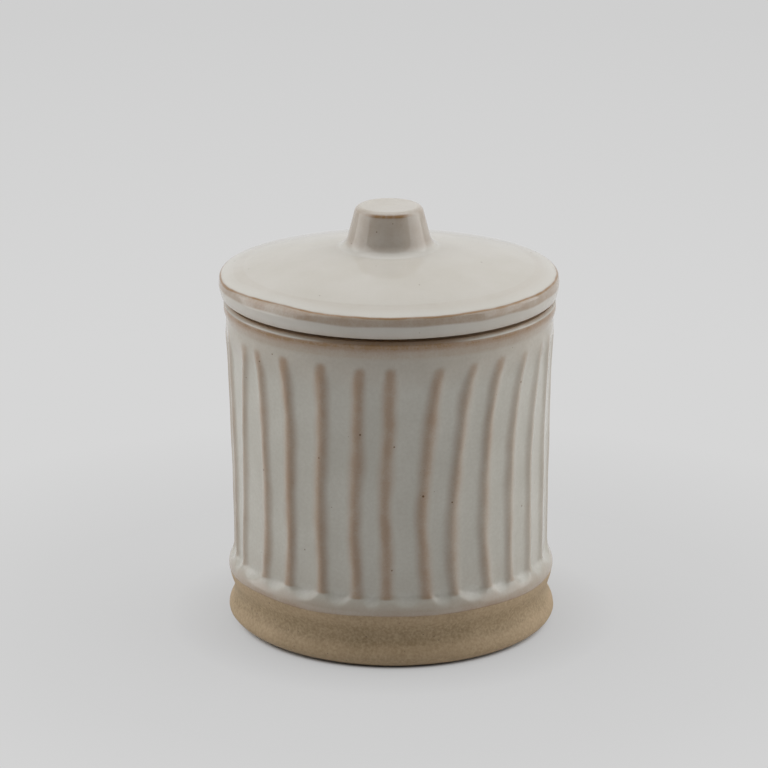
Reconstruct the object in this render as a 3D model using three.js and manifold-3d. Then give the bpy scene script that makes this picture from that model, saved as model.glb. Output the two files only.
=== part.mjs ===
// Lidded storage jar in stoneware: a pot with hand-cut flutes standing on a bare
// turned foot, and a low crowned lid with a tapered knob and a locating flange.
// Millimetres, +Z up. The origin is on the jar's axis, where the foot meets the table.
import * as THREE from "three";
import { mergeVertices } from "three/addons/utils/BufferGeometryUtils.js";
import Module from "manifold-3d";

const wasm = await Module();
wasm.setup();

// Pot: the rim band and the foot's bead share one radius, and the others step in from it.
const POT_HEIGHT = 99.6;
const RIM_RADIUS = 48.8;
const RIM_WIDTH = 6.2;
const RIM_BAND = 3.2;
const RIM_ROUNDING = 1.5;
const MOUTH_ROUNDING = 1.0;
const BAND_TO_NECK = 3.2;
const NECK_INSET = 0.65;
const NECK_TO_SHOULDER = 5.6;
const SHOULDER_INSET = 0.4;
const WALL_FOOT_INSET = 1.7;
const WALL_FLARE = 2.2;
const WALL_THICKNESS = 5.7;

// Turned foot, from the table up: a bearing ring, a rounded bead, a cove and a bulge.
// Each rise is measured from the turning point of the outline below it.
const FOOT_EDGE_ROUNDING = 4.2;
const FOOT_RING_WIDTH = 5.6;
const FOOT_RECESS_DEPTH = 2.5;
const BEAD_RISE = 4.0;
const COVE_RISE = 5.6;
const COVE_INSET = 1.8;
const BULGE_RISE = 7.4;
const BULGE_INSET = 0.2;
const WALL_FOOT_RISE = 5.6;
const FLOOR_THICKNESS = 6.5;
const FLOOR_CORNER = 8.0;

// Flutes: shallow troughs drawn down the wall by hand, with narrow ridges left between.
const FLUTE_COUNT = 28;
const FLUTE_DEPTH = 0.9;
const RIDGE_WIDTH = 3.0;
const FLUTE_OVERLAP = 2.2;
const FLUTE_RUN_IN = 2.0;
const FLUTE_RUN_OUT = 2.6;
const FLUTE_HEAD = 3.4;
const TREMOR_DEG = 0.35;
const TREMOR_WAVES = 1.6;

// The ridge nearest the front stands this far round from straight ahead.
const FIRST_RIDGE_DEG = -1.5;
// How far each ridge starts from its even place at the foot, and how far it leans on
// its way up, in degrees to the right. The lists run from the front ridge to the
// right, and the far half of the jar repeats them.
const RIDGE_DRIFT_DEG = [0, 0, -1.5, -0.5, -1.5, -2, -2, 0.5, 1, -1, 2, 0.5, 1, 1];
const RIDGE_LEAN_DEG = [2, 5, 5.5, 4, 4, 3.5, 1.5, 2.5, 1, 4.5, 0, 2, 2.5, 2];

// Lid: it follows the rim that it rests on and the mouth that it drops into.
const SEAT_GAP = 0.3;
const LID_OVERHANG = 1.2;
const LID_UNDERCUT = 0.6;
const LID_EDGE_ROUNDING = 0.7;
const LID_WIDEST_RISE = 4.1;
const LID_ARRIS_RISE = 2.3;
const LID_ARRIS_INSET = 0.8;
const LID_CROWN_RISE = 8.2;
const LID_THICKNESS = 5.5;
const FLANGE_CLEARANCE = 1.0;
const FLANGE_THICKNESS = 4.0;
const FLANGE_DEPTH = 7.0;
const FLANGE_ROUNDING = 1.2;
const CEILING_ROUNDING = 3.0;
const KNOB_FOOT_RADIUS = 12.7;
const KNOB_TOP_RADIUS = 9.5;
const KNOB_HEIGHT = 12.1;
const KNOB_FILLET = 5.0;
const KNOB_ROUNDING = 2.2;
const KNOB_DISH = 0.4;

// Facets round a full turn of every revolved surface, and how far a cutter runs past
// the face that it opens.
const TURN_SEGMENTS = 60;
const CUT_OVERRUN = 1.0;

// Radii and heights that follow from the sizes above.
const mouthRadius = RIM_RADIUS - RIM_WIDTH;
const wallTopRadius = RIM_RADIUS - SHOULDER_INSET;
const wallFootRadius = RIM_RADIUS - WALL_FOOT_INSET;
const footSeatRadius = RIM_RADIUS - FOOT_EDGE_ROUNDING;
const footRingInner = footSeatRadius - FOOT_RING_WIDTH;
const coveHeight = BEAD_RISE + COVE_RISE;
const bulgeHeight = coveHeight + BULGE_RISE;
const wallFootHeight = bulgeHeight + WALL_FOOT_RISE;
const neckHeight = POT_HEIGHT - RIM_BAND - BAND_TO_NECK;
const wallTopHeight = neckHeight - NECK_TO_SHOULDER;
const fluteLow = wallFootHeight - FLUTE_OVERLAP;
const fluteHigh = wallTopHeight + FLUTE_HEAD;
const fullDepthLow = wallFootHeight + FLUTE_RUN_IN;
const fullDepthHigh = wallTopHeight - FLUTE_RUN_OUT;
const floorHeight = FOOT_RECESS_DEPTH + FLOOR_THICKNESS;
const lidSeatHeight = POT_HEIGHT + SEAT_GAP;
const lidRadius = RIM_RADIUS + LID_OVERHANG;
const arrisRadius = lidRadius - LID_ARRIS_INSET;
const arrisHeight = lidSeatHeight + LID_WIDEST_RISE + LID_ARRIS_RISE;
const knobFootHeight = arrisHeight + LID_CROWN_RISE;
const flangeRadius = mouthRadius - FLANGE_CLEARANCE;
const hollowRadius = flangeRadius - FLANGE_THICKNESS;
const flangeFoot = lidSeatHeight - FLANGE_DEPTH;

function at(radius, height) {
  return new THREE.Vector2(radius, height);
}

// Outline between two turning points, upright at both, as on a thrown swell.
function ease(from, to, steps) {
  const points = [];
  for (let i = 1; i <= steps; i += 1) {
    const t = i / steps;
    const swell = (1 - Math.cos(Math.PI * t)) / 2;
    points.push(at(from.x + (to.x - from.x) * swell, from.y + (to.y - from.y) * t));
  }
  return points;
}

// Quarter of an ellipse that leaves one point upright, or else level, and turns square.
function quarter(from, to, leavesUpright, steps) {
  const points = [];
  for (let i = 1; i <= steps; i += 1) {
    const angle = (Math.PI / 2) * (i / steps);
    const far = Math.sin(angle);
    const near = 1 - Math.cos(angle);
    const across = leavesUpright ? near : far;
    const along = leavesUpright ? far : near;
    points.push(at(from.x + (to.x - from.x) * across, from.y + (to.y - from.y) * along));
  }
  return points;
}

// Arc that leaves one point upright and bends inwards to reach the other.
function bend(from, to, steps) {
  const reach = from.x - to.x;
  const rise = to.y - from.y;
  const radius = (reach ** 2 + rise ** 2) / (2 * reach);
  const sweep = Math.atan2(rise, radius - reach);
  const points = [];
  for (let i = 1; i <= steps; i += 1) {
    const angle = (sweep * i) / steps;
    points.push(at(from.x - radius * (1 - Math.cos(angle)), from.y + radius * Math.sin(angle)));
  }
  return points;
}

// Arc that rounds the corner of a path, tangent to both of its straight sides.
function fillet(before, corner, after, radius, steps) {
  const inward = before.clone().sub(corner).normalize();
  const outward = after.clone().sub(corner).normalize();
  const halfAngle = Math.acos(inward.dot(outward)) / 2;
  const bisector = inward.clone().add(outward).normalize();
  const centre = corner.clone().addScaledVector(bisector, radius / Math.sin(halfAngle));
  const start = corner.clone().addScaledVector(inward, radius / Math.tan(halfAngle)).sub(centre);
  const end = corner.clone().addScaledVector(outward, radius / Math.tan(halfAngle)).sub(centre);
  const sweep = Math.atan2(start.cross(end), start.dot(end));
  const points = [];
  for (let i = 0; i <= steps; i += 1) {
    points.push(start.clone().rotateAround(at(0, 0), (sweep * i) / steps).add(centre));
  }
  return points;
}

// Solid of revolution about the jar's axis from an outline that starts and ends on it.
function revolve(outline) {
  return new THREE.LatheGeometry(outline, TURN_SEGMENTS).rotateX(Math.PI / 2);
}

// Radius of the pot's wall on the crests of its ridges.
function wallRadius(height) {
  const t = (height - wallFootHeight) / (wallTopHeight - wallFootHeight);
  return wallFootRadius + (wallTopRadius - wallFootRadius) * t ** WALL_FLARE;
}

// Outside of the pot as a list of levels, from the edge of the foot ring up to the rim:
// the bead, the cove, the bulge, the fluted wall, the neck and the rounded rim band.
function potLevels() {
  const seatEdge = at(footSeatRadius, 0);
  const bead = at(RIM_RADIUS, BEAD_RISE);
  const cove = at(RIM_RADIUS - COVE_INSET, coveHeight);
  const bulge = at(RIM_RADIUS - BULGE_INSET, bulgeHeight);
  const wallFoot = at(wallFootRadius, wallFootHeight);
  const wallTop = at(wallTopRadius, wallTopHeight);
  const neck = at(RIM_RADIUS - NECK_INSET, neckHeight);
  const band = at(RIM_RADIUS, POT_HEIGHT - RIM_BAND);
  const bandTop = at(RIM_RADIUS, POT_HEIGHT - RIM_ROUNDING);
  const rimTop = at(RIM_RADIUS - RIM_ROUNDING, POT_HEIGHT);

  const wall = [];
  const wallSteps = 5;
  for (let i = 0; i <= wallSteps; i += 1) {
    const height = fullDepthLow + ((fullDepthHigh - fullDepthLow) * i) / wallSteps;
    wall.push(at(wallRadius(height), height));
  }
  return [
    seatEdge,
    ...quarter(seatEdge, bead, false, 4),
    ...ease(bead, cove, 4),
    ...ease(cove, bulge, 4),
    ...ease(bulge, wallFoot, 3),
    ...wall,
    wallTop,
    ...ease(wallTop, neck, 3),
    ...ease(neck, band, 2),
    bandTop,
    ...quarter(bandTop, rimTop, true, 3),
  ];
}

// Angle of a ridge at a height, in radians to the right of straight ahead.
function ridgeAngle(index, height) {
  const ridge = index % FLUTE_COUNT;
  const place = ridge % RIDGE_DRIFT_DEG.length;
  const t = THREE.MathUtils.clamp((height - fluteLow) / (fluteHigh - fluteLow), 0, 1);
  const lean = RIDGE_LEAN_DEG[place] * t ** 2;
  const tremor = TREMOR_DEG * Math.sin(TREMOR_WAVES * 2 * Math.PI * t + ridge);
  const even = FIRST_RIDGE_DEG + (index * 360) / FLUTE_COUNT;
  return THREE.MathUtils.degToRad(even + RIDGE_DRIFT_DEG[place] + lean + tremor);
}

// Depth of every flute at a height: it sinks in above the bulge, runs level up the wall
// and fades out below the neck.
function fluteDepth(height) {
  const enter = THREE.MathUtils.smoothstep(height, fluteLow, fullDepthLow);
  const leave = THREE.MathUtils.smoothstep(height, fullDepthHigh, fluteHigh);
  return FLUTE_DEPTH * (enter - leave);
}

// One level of the pot's outside. Between two ridges the section is a shallow bowl,
// and the crest of each ridge is left at the wall's own radius.
function potRing(level) {
  const across = [-1, -0.5, 0, 0.5, 1];
  const ring = [];
  for (let i = 0; i < FLUTE_COUNT; i += 1) {
    const left = ridgeAngle(i, level.y);
    const right = ridgeAngle(i + 1, level.y);
    const half = (right - left) / 2 - RIDGE_WIDTH / 2 / level.x;
    for (const u of across) {
      const angle = (left + right) / 2 + u * half;
      const radius = level.x - fluteDepth(level.y) * (1 - u * u);
      ring.push(new THREE.Vector3(radius * Math.sin(angle), -radius * Math.cos(angle), level.y));
    }
  }
  return ring;
}

// Closed skin through equal rings of points, with a fan over each end.
function loft(rings) {
  const size = rings[0].length;
  const last = (rings.length - 1) * size;
  const index = [];
  for (let ring = 0; ring < rings.length - 1; ring += 1) {
    for (let i = 0; i < size; i += 1) {
      const a = ring * size + i;
      const b = ring * size + ((i + 1) % size);
      index.push(a, b, b + size, a, b + size, a + size);
    }
  }
  for (let i = 1; i < size - 1; i += 1) {
    index.push(0, i + 1, i);
    index.push(last, last + i, last + i + 1);
  }
  const geometry = new THREE.BufferGeometry().setFromPoints(rings.flat());
  geometry.setIndex(index);
  return geometry;
}

// Space inside the pot: a rounded floor corner, a slightly opening wall and an eased mouth.
function cavityOutline() {
  const floorCentre = at(0, floorHeight);
  const floorCorner = at(wallFootRadius - WALL_THICKNESS, floorHeight);
  const mouth = at(mouthRadius, POT_HEIGHT - MOUTH_ROUNDING);
  const lip = at(mouthRadius + MOUTH_ROUNDING, POT_HEIGHT);
  return [
    floorCentre,
    ...fillet(floorCentre, floorCorner, mouth, FLOOR_CORNER, 5),
    mouth,
    ...quarter(mouth, lip, true, 3),
    at(lip.x, POT_HEIGHT + CUT_OVERRUN),
    at(0, POT_HEIGHT + CUT_OVERRUN),
  ];
}

// Hollow turned under the floor, which leaves the foot ring standing.
function recessOutline() {
  const ringInner = at(footRingInner, 0);
  const recessEdge = at(footRingInner - FOOT_RECESS_DEPTH, FOOT_RECESS_DEPTH);
  return [
    at(0, -CUT_OVERRUN),
    at(footRingInner, -CUT_OVERRUN),
    ringInner,
    ...quarter(ringInner, recessEdge, true, 3),
    at(0, FOOT_RECESS_DEPTH),
  ];
}

// Outline of the lid, from the axis under the crown, down round the flange, out over
// the seat, up the side and over the crown to the top of the knob.
function lidOutline() {
  const crownSlope = LID_CROWN_RISE / (arrisRadius - KNOB_FOOT_RADIUS);
  const hollowHeight = arrisHeight + crownSlope * (arrisRadius - hollowRadius) - LID_THICKNESS;
  const ceiling = at(0, knobFootHeight - LID_THICKNESS);
  const ceilingKnee = at(KNOB_FOOT_RADIUS, knobFootHeight - LID_THICKNESS);
  const hollowCorner = at(hollowRadius, hollowHeight);
  const flangeInner = at(hollowRadius, flangeFoot);
  const flangeOuter = at(flangeRadius, flangeFoot);
  const seatInner = at(flangeRadius, lidSeatHeight);
  const sideFoot = at(lidRadius - LID_UNDERCUT, lidSeatHeight + LID_EDGE_ROUNDING);
  const seatOuter = at(sideFoot.x - LID_EDGE_ROUNDING, lidSeatHeight);
  const widest = at(lidRadius, lidSeatHeight + LID_WIDEST_RISE);
  const arris = at(arrisRadius, arrisHeight);
  const knobFoot = at(KNOB_FOOT_RADIUS, knobFootHeight);
  const knobTop = at(KNOB_TOP_RADIUS, knobFootHeight + KNOB_HEIGHT);
  const knobCentre = at(0, knobTop.y - KNOB_DISH);
  return [
    ceiling,
    ceilingKnee,
    ...fillet(ceilingKnee, hollowCorner, flangeInner, CEILING_ROUNDING, 3),
    ...fillet(hollowCorner, flangeInner, flangeOuter, FLANGE_ROUNDING, 3),
    ...fillet(flangeInner, flangeOuter, seatInner, FLANGE_ROUNDING, 3),
    seatInner,
    seatOuter,
    ...bend(widest, sideFoot, 3).reverse(),
    widest,
    ...bend(widest, arris, 4),
    ...fillet(arris, knobFoot, knobTop, KNOB_FILLET, 6),
    ...fillet(knobFoot, knobTop, knobCentre, KNOB_ROUNDING, 4),
    knobCentre,
  ];
}

// Exact solid from a closed geometry, with its doubled points joined.
function toSolid(geometry) {
  const bare = geometry.clone();
  bare.deleteAttribute("normal");
  bare.deleteAttribute("uv");
  const merged = mergeVertices(bare);
  const corners = merged.index.array;
  const triVerts = [];
  for (let i = 0; i < corners.length; i += 3) {
    const [a, b, c] = corners.slice(i, i + 3);
    if (a !== b && b !== c && c !== a) {
      triVerts.push(a, b, c);
    }
  }
  return new wasm.Manifold(new wasm.Mesh({
    numProp: 3,
    vertProperties: new Float32Array(merged.attributes.position.array),
    triVerts: new Uint32Array(triVerts),
  }));
}

function toGeometry(solid) {
  const { vertProperties, triVerts } = solid.getMesh();
  const geometry = new THREE.BufferGeometry();
  geometry.setAttribute("position", new THREE.BufferAttribute(vertProperties, 3));
  geometry.setIndex(new THREE.BufferAttribute(triVerts, 1));
  geometry.computeVertexNormals();
  return geometry;
}

// Fluted pot, hollowed from above and turned out under the foot.
function flutedPot() {
  const outside = toSolid(loft(potLevels().map(potRing)));
  const cavity = toSolid(revolve(cavityOutline()));
  const recess = toSolid(revolve(recessOutline()));
  return toGeometry(outside.subtract(cavity).subtract(recess));
}

const potGlaze = new THREE.MeshStandardMaterial({ color: 0xbdb8ae, roughness: 0.2, metalness: 0 });
const lidGlaze = new THREE.MeshStandardMaterial({ color: 0xcbc7bd, roughness: 0.15, metalness: 0 });

const pot = new THREE.Mesh(flutedPot(), potGlaze);
pot.name = "jar";

const lid = new THREE.Mesh(revolve(lidOutline()), lidGlaze);
lid.name = "lid";

const storageJar = new THREE.Group();
storageJar.add(pot, lid);

export default storageJar;
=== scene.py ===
# %% [markdown]
# # A lidded storage jar in fluted stoneware
#
# The jar is two fired pieces of clay. The pot stands on a bare turned foot, and its wall
# has shallow flutes that were drawn down by hand, so no two of them are quite alike.
# The lid rests on the rim, with a flange that drops into the mouth and a knob on top.
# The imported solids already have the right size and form, but they are faceted and bare.
# This lesson builds a fine skin over each of them and finishes it as glaze and clay.

import math

import bpy
import numpy as np
from mathutils import Matrix, Vector


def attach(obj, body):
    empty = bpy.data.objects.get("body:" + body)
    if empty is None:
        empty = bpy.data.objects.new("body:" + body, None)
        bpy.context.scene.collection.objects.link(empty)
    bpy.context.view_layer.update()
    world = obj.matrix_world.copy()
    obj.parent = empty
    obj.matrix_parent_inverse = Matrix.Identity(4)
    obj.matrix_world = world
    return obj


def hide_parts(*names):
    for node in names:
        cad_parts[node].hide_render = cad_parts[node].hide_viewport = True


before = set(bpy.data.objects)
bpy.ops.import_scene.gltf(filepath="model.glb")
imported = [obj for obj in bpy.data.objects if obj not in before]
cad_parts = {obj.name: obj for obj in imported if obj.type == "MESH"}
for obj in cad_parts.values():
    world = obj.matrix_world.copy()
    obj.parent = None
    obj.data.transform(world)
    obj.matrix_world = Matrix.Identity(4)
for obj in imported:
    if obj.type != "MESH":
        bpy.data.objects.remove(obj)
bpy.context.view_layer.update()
scene = bpy.context.scene
MM = 0.001

# %% [markdown]
# ## Sizes
#
# A potter works from a few radii and heights: the rim, the foot, the bead and the cove
# between them. They are written here in millimetres, as on a throwing sketch, and every
# outline below is drawn through them. Most are the solids' own sizes and a few were
# fitted finer to the photo, so the skin lands on the frame without being scaled.

# %% Sizes of the pot
POT_HEIGHT = 99.6
RIM_RADIUS = 48.8
MOUTH_RADIUS = 42.6
BAND_LOW, BAND_TOP = 96.4, 97.2
NECK = (48.15, 93.2)
WALL_TOP = (48.4, 87.6)
WALL_FOOT = (47.1, 22.6)
WALL_FLARE = 2.2
BULGE = (48.6, 17.0)
COVE = (47.0, 9.6)
BEAD = (48.8, 4.0)
FOOT_EDGE = 42.5
RING_INNER = 39.0
RECESS = 2.5
FLOOR = 9.0
FLOOR_CORNER = 8.0
INNER_FOOT_RADIUS = 41.4
GLAZE_LINE = 16.6
GLAZE_STEP = 0.16
RIM_BEVEL = 0.9
BEVEL_LOW, BEVEL_HIGH = 98.1, 99.05
SEAT_INSET = 2.5
LIP_ROUNDING = 1.0
print("pot", POT_HEIGHT, "mm tall,", 2 * RIM_RADIUS, "mm across the rim")

# %% Sizes of the lid
LID_SEAT = 99.9
LID_RADIUS = 50.0
LID_WIDEST = 104.0
ARRIS = (49.75, 106.45)
KNOB_FOOT = (12.85, 114.5)
KNOB_TOP = (9.7, 126.59)
KNOB_FILLET, KNOB_ROUNDING = 4.8, 2.2
KNOB_DISH = 0.4
ARRIS_ROUNDING = 1.4
CROWN_RISE = 0.7
SIDE_UNDERCUT, SIDE_RISE, SEAT_TURN = 0.5, 1.1, 1.5
LID_THICKNESS = 5.5
FLANGE_RADIUS = 41.6
HOLLOW_RADIUS = 37.6
FLANGE_FOOT = 92.9
FLANGE_ROUNDING = 1.2
CEILING_ROUNDING = 3.0
print("lid", 2 * LID_RADIUS, "mm across, knob top at", KNOB_TOP[1])

# %% [markdown]
# ## Outlines
#
# Anything thrown on a wheel is an outline turned about an axis. An outline here is an
# array of (radius, height) pairs. Clay swells and necks in smooth curves that are
# upright at their widest and narrowest places, and the corners that a potter wipes with
# a wet sponge are small arcs, so four short helpers draw all that's needed. Curves
# made by formula keep their true shape at any density, which a traced list can't do.

# %% Helpers that draw an outline
def straight(start, end, steps):
    t = np.arange(1, steps + 1)[:, None] / steps
    return np.array(start) + (np.array(end) - np.array(start)) * t


def ease(start, end, steps):
    """Swell or neck: upright at both ends."""
    t = np.arange(1, steps + 1) / steps
    swell = (1 - np.cos(np.pi * t)) / 2
    return np.column_stack([
        start[0] + (end[0] - start[0]) * swell,
        start[1] + (end[1] - start[1]) * t,
    ])


def quarter(start, end, steps):
    """Quarter of an ellipse that leaves start level and ends upright."""
    angle = np.pi / 2 * np.arange(1, steps + 1) / steps
    return np.column_stack([
        start[0] + (end[0] - start[0]) * np.sin(angle),
        start[1] + (end[1] - start[1]) * (1 - np.cos(angle)),
    ])


def corner(before, at, after, radius, steps):
    """Arc that rounds the corner at a point, tangent to both straight sides."""
    at = np.array(at, float)
    a, b = (np.array(p, float) - at for p in (before, after))
    a, b = a / np.linalg.norm(a), b / np.linalg.norm(b)
    half = math.acos(float(a @ b)) / 2
    middle = (a + b) / np.linalg.norm(a + b)
    centre = at + middle * radius / math.sin(half)
    start = at + a * radius / math.tan(half) - centre
    end = at + b * radius / math.tan(half) - centre
    sweep = math.atan2(start[0] * end[1] - start[1] * end[0], float(start @ end))
    turn = sweep * np.arange(steps + 1) / steps
    return centre + np.column_stack([
        start[0] * np.cos(turn) - start[1] * np.sin(turn),
        start[0] * np.sin(turn) + start[1] * np.cos(turn),
    ])


def smoothstep(low, high, x):
    t = np.clip((x - low) / (high - low), 0, 1)
    return t * t * (3 - 2 * t)


print("corner test", corner((0, 1), (0, 0), (1, 0), 0.5, 2).round(3).tolist())

# %% [markdown]
# ## Unevenness of the hand
#
# A wheel is steady and a hand isn't. Each flute wanders a little, is cut a little deeper
# or shallower, and the wall itself is never perfectly round. Random numbers from a fixed
# seed give waves that are smooth round the pot and repeat exactly on every run. Waves
# are used and not plain noise, because they close up without a seam after a full turn.

# %% Waves round the pot and along a ridge
def waves(seed, turns, rises, count=9):
    """A smooth field of about -1 to 1 over angle and height: turns is the most waves
    round the pot, and rises the most waves in 100 mm of height."""
    rng = np.random.default_rng(seed)
    around = rng.integers(0, turns + 1, count)
    up = rng.uniform(-rises, rises, count) * 2 * np.pi / 100
    phase = rng.uniform(0, 2 * np.pi, count)
    size = rng.uniform(0.4, 1.0, count)

    def field(angle, height):
        total = sum(
            s * np.sin(a * angle + u * height + p)
            for s, a, u, p in zip(size, around, up, phase)
        )
        return total / (size.sum() * 0.5)

    return field


def strand(seed, number, shortest):
    """A smooth wander of about -1 to 1 along each of a number of ridges."""
    rng = np.random.default_rng(seed)
    lengths = shortest * np.array([1.0, 1.7, 2.9, 5.0])
    phase = rng.uniform(0, 2 * np.pi, (number, len(lengths)))

    def wander(index, height):
        return sum(
            np.sin(2 * np.pi * height / length + phase[index, k])
            for k, length in enumerate(lengths)
        ) / len(lengths) * 1.4

    return wander


print("wave sample", round(float(waves(1, 6, 2)(0.5, 40.0)), 3))

# %% [markdown]
# ## The pot's flutes
#
# The real flutes are troughs drawn through soft clay with a rounded tool, side by side,
# so that a narrow ridge is left standing between two of them. They could be cut out with
# booleans, but a cut leaves ragged edges. Here each level of the wall is drawn as a ring
# whose radius dips between the ridges, and the columns of the mesh follow the ridges as
# they lean, so that a crest is always a clean line of edges.

# %% Where each ridge stands
FLUTES = 28
COLUMNS_PER_FLUTE = 20
FLUTE_DEPTH = 0.95
FLUTE_LOW, FLUTE_HIGH = 20.4, 91.0
FIRST_RIDGE_DEG = -1.5
DRIFT_DEG = np.array([0, 1.3, -1, 0.5, -1, -1.5, -3, 0.5, 1, -1.5, 1, 0.5, 1.5, 2] * 2)
LEAN_DEG = np.array([2, 5, 7, 4, 4.5, 4, 1.5, 2.5, 1, 6.5, -0.5, 0.5, 2, 2.5] * 2)
BOW_DEG = np.array([-0.5, -2, -1.5, -3, -2, -2, 0, 0, 0, 0.5, 2, 1.5, 0, -0.5] * 2)
TREMOR_DEG, TREMOR_WAVES = 0.35, 1.6
hand_tremor = strand(11, FLUTES, 9.0)


def ridge_angle(index, height):
    """Angle of a ridge in radians, to the right of straight ahead."""
    ridge = index % FLUTES
    t = np.clip((height - FLUTE_LOW) / (FLUTE_HIGH - FLUTE_LOW), 0, 1)
    tremor = TREMOR_DEG * np.sin(TREMOR_WAVES * 2 * np.pi * t + ridge)
    tremor = tremor + 0.09 * hand_tremor(ridge, height)
    even = FIRST_RIDGE_DEG + index * 360 / FLUTES
    bow = BOW_DEG[ridge] * np.sin(np.pi * t)
    return np.radians(even + DRIFT_DEG[ridge] + LEAN_DEG[ridge] * t**2 + bow + tremor)


print("front ridge leans", round(float(np.degrees(
    ridge_angle(np.array(0), 91.0) - ridge_angle(np.array(0), 21.0))), 2), "degrees")

# %% Columns: close together at the ridges, wider apart in the troughs
step = np.arange(COLUMNS_PER_FLUTE) / COLUMNS_PER_FLUTE
place = 0.5 * step + 0.25 * (1 - np.cos(np.pi * step))
column_flute = np.repeat(np.arange(FLUTES), COLUMNS_PER_FLUTE)
column_place = np.tile(place, FLUTES)
print(len(column_place), "columns round the wall")

# %% Depth of the flutes, and how thin the glaze lies on them
ridge_width = strand(21, FLUTES, 13.0)
ridge_wear = strand(22, FLUTES, 11.0)
crest_dip = strand(23, FLUTES, 17.0)
flute_cut = np.random.default_rng(24).uniform(-0.12, 0.12, FLUTES)
ridge_end = np.random.default_rng(25).uniform(-0.45, 0.45, FLUTES)
CREST_WIDTH = 1.5
CREST_DIP = 0.10
BREAK_WIDTH = 2.15
BREAK_STRENGTH = 0.90
# Ridges painted paler towards both sides, most on the right: painted light from the side
# lamps.
SIDE_PAINTED_LIGHT, RIGHT_PAINTED_LIGHT = 0.30, 0.23
POOL_DEPTH, POOL_HEIGHT = 0.55, FLUTE_LOW + 0.6


def flute_depth(share, crest, column_dip, height):
    """How far each column lies in from the wall. A flute ends in a round tip: its middle
    starts lower and stops higher than its edges do."""
    trough = (1 - crest) * (0.60 + 0.40 * (1 - (1 - share) ** 2))
    low = FLUTE_LOW - 1.5 + 2.6 * (1 - share) ** 2
    high = FLUTE_HIGH + 1.8 - 1.8 * (1 - share) ** 2
    cut = smoothstep(low, low + 2.8, height) - smoothstep(high - 8.0, high, height)
    deep = FLUTE_DEPTH * (1 + flute_cut[column_flute])
    dip = CREST_DIP + 0.10 * column_dip
    return cut * (deep * trough + dip * (1 - trough))


def ridge_break(beside, width, nearest, angle, height):
    """How thin the glaze lies on each ridge; it's thinner near a ridge's head. Towards both
    sides of the pot, most of all on the right, the ridges are painted paler: painted light."""
    brown = np.exp(-np.abs(beside / width) ** 2.3)
    start = FLUTE_LOW + 0.7 + ridge_end[nearest]
    stop = FLUTE_HIGH + 2.2 + ridge_end[nearest]
    shown = smoothstep(start, start + 0.9, height) - smoothstep(stop - 3.2, stop, height)
    head = 0.08 * np.exp(-((height - 88.5) / 3.0) ** 2)
    side = np.sin(angle)
    # cover paints the ridges paler towards the sides: painted light.
    cover = SIDE_PAINTED_LIGHT * smoothstep(0.60, 0.97, np.abs(side))
    cover = cover + RIGHT_PAINTED_LIGHT * smoothstep(0.14, 0.48, side)
    wear = BREAK_STRENGTH + 0.05 * ridge_wear(nearest, height) + head - cover
    return brown * np.clip(shown, 0, 1) * wear


def fluting(radius, height):
    """Angles, depths and glaze thinness of one level of the wall. share is 0 on a ridge
    and 1 in the middle of a flute, and away is the distance to the ridge."""
    left = ridge_angle(column_flute, height)
    right = ridge_angle(column_flute + 1, height)
    angle = left + (right - left) * column_place
    from_left = column_place < 0.5
    share = np.where(from_left, column_place, 1 - column_place) * 2
    width = (right - left) * radius
    away = share * width / 2
    nearest = np.where(from_left, column_flute, column_flute + 1) % FLUTES

    swell = 1 + 0.13 * ridge_width(nearest, height)
    crest = np.exp(-(away / (CREST_WIDTH * swell)) ** 2)
    depth = flute_depth(share, crest, crest_dip(nearest, height), height)
    beside = np.where(from_left, away, -away) - 0.2 * crest_dip(nearest, height + 40)
    thin = ridge_break(beside, BREAK_WIDTH * swell, nearest, angle, height)
    pool = smoothstep(0.35, 0.9, share) * np.exp(-((height - POOL_HEIGHT) / 1.6) ** 2)
    return angle, depth, thin - POOL_DEPTH * pool


sample = fluting(47.0, 50.0)
print("flutes are", round(float(sample[1].max()), 2), "mm deep at half height")

# %% Outline of the pot's outside
dense = np.vstack([
    [BEAD],
    ease(BEAD, COVE, 60),
    ease(COVE, BULGE, 60),
    ease(BULGE, WALL_FOOT, 60),
    [(WALL_FOOT[0] + (WALL_TOP[0] - WALL_FOOT[0]) * t**WALL_FLARE,
      WALL_FOOT[1] + (WALL_TOP[1] - WALL_FOOT[1]) * t) for t in np.linspace(0.01, 1, 100)],
    ease(WALL_TOP, NECK, 40),
    ease(NECK, (RIM_RADIUS, BAND_LOW), 40),
    [(RIM_RADIUS, BAND_TOP)],
])
line_rows = GLAZE_LINE + np.array([-0.4, -0.24, -0.14, -0.07, 0, 0.07, 0.14, 0.24, 0.4])
level_heights = np.concatenate([
    np.linspace(BEAD[1], 15.8, 20),
    line_rows,
    np.linspace(17.4, 20.0, 6),
    np.arange(20.5, 27.0, 0.5),
    np.arange(27.0, 86.0, 1.3),
    np.arange(86.0, 94.0, 0.6),
    np.linspace(94.4, BAND_TOP, 6),
])
side = np.column_stack([np.interp(level_heights, dense[:, 1], dense[:, 0]), level_heights])
foot_edge = np.vstack([[(FOOT_EDGE, 0.0)], quarter((FOOT_EDGE, 0.0), BEAD, 11)[:-1]])
BEVEL_FOOT, BEVEL_TOP = (RIM_RADIUS, BEVEL_LOW), (RIM_RADIUS - RIM_BEVEL, BEVEL_HIGH)
SEAT_EDGE = RIM_RADIUS - SEAT_INSET
LIP = (MOUTH_RADIUS + LIP_ROUNDING, POT_HEIGHT)
mouth = (MOUTH_RADIUS, POT_HEIGHT - LIP_ROUNDING)
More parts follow.
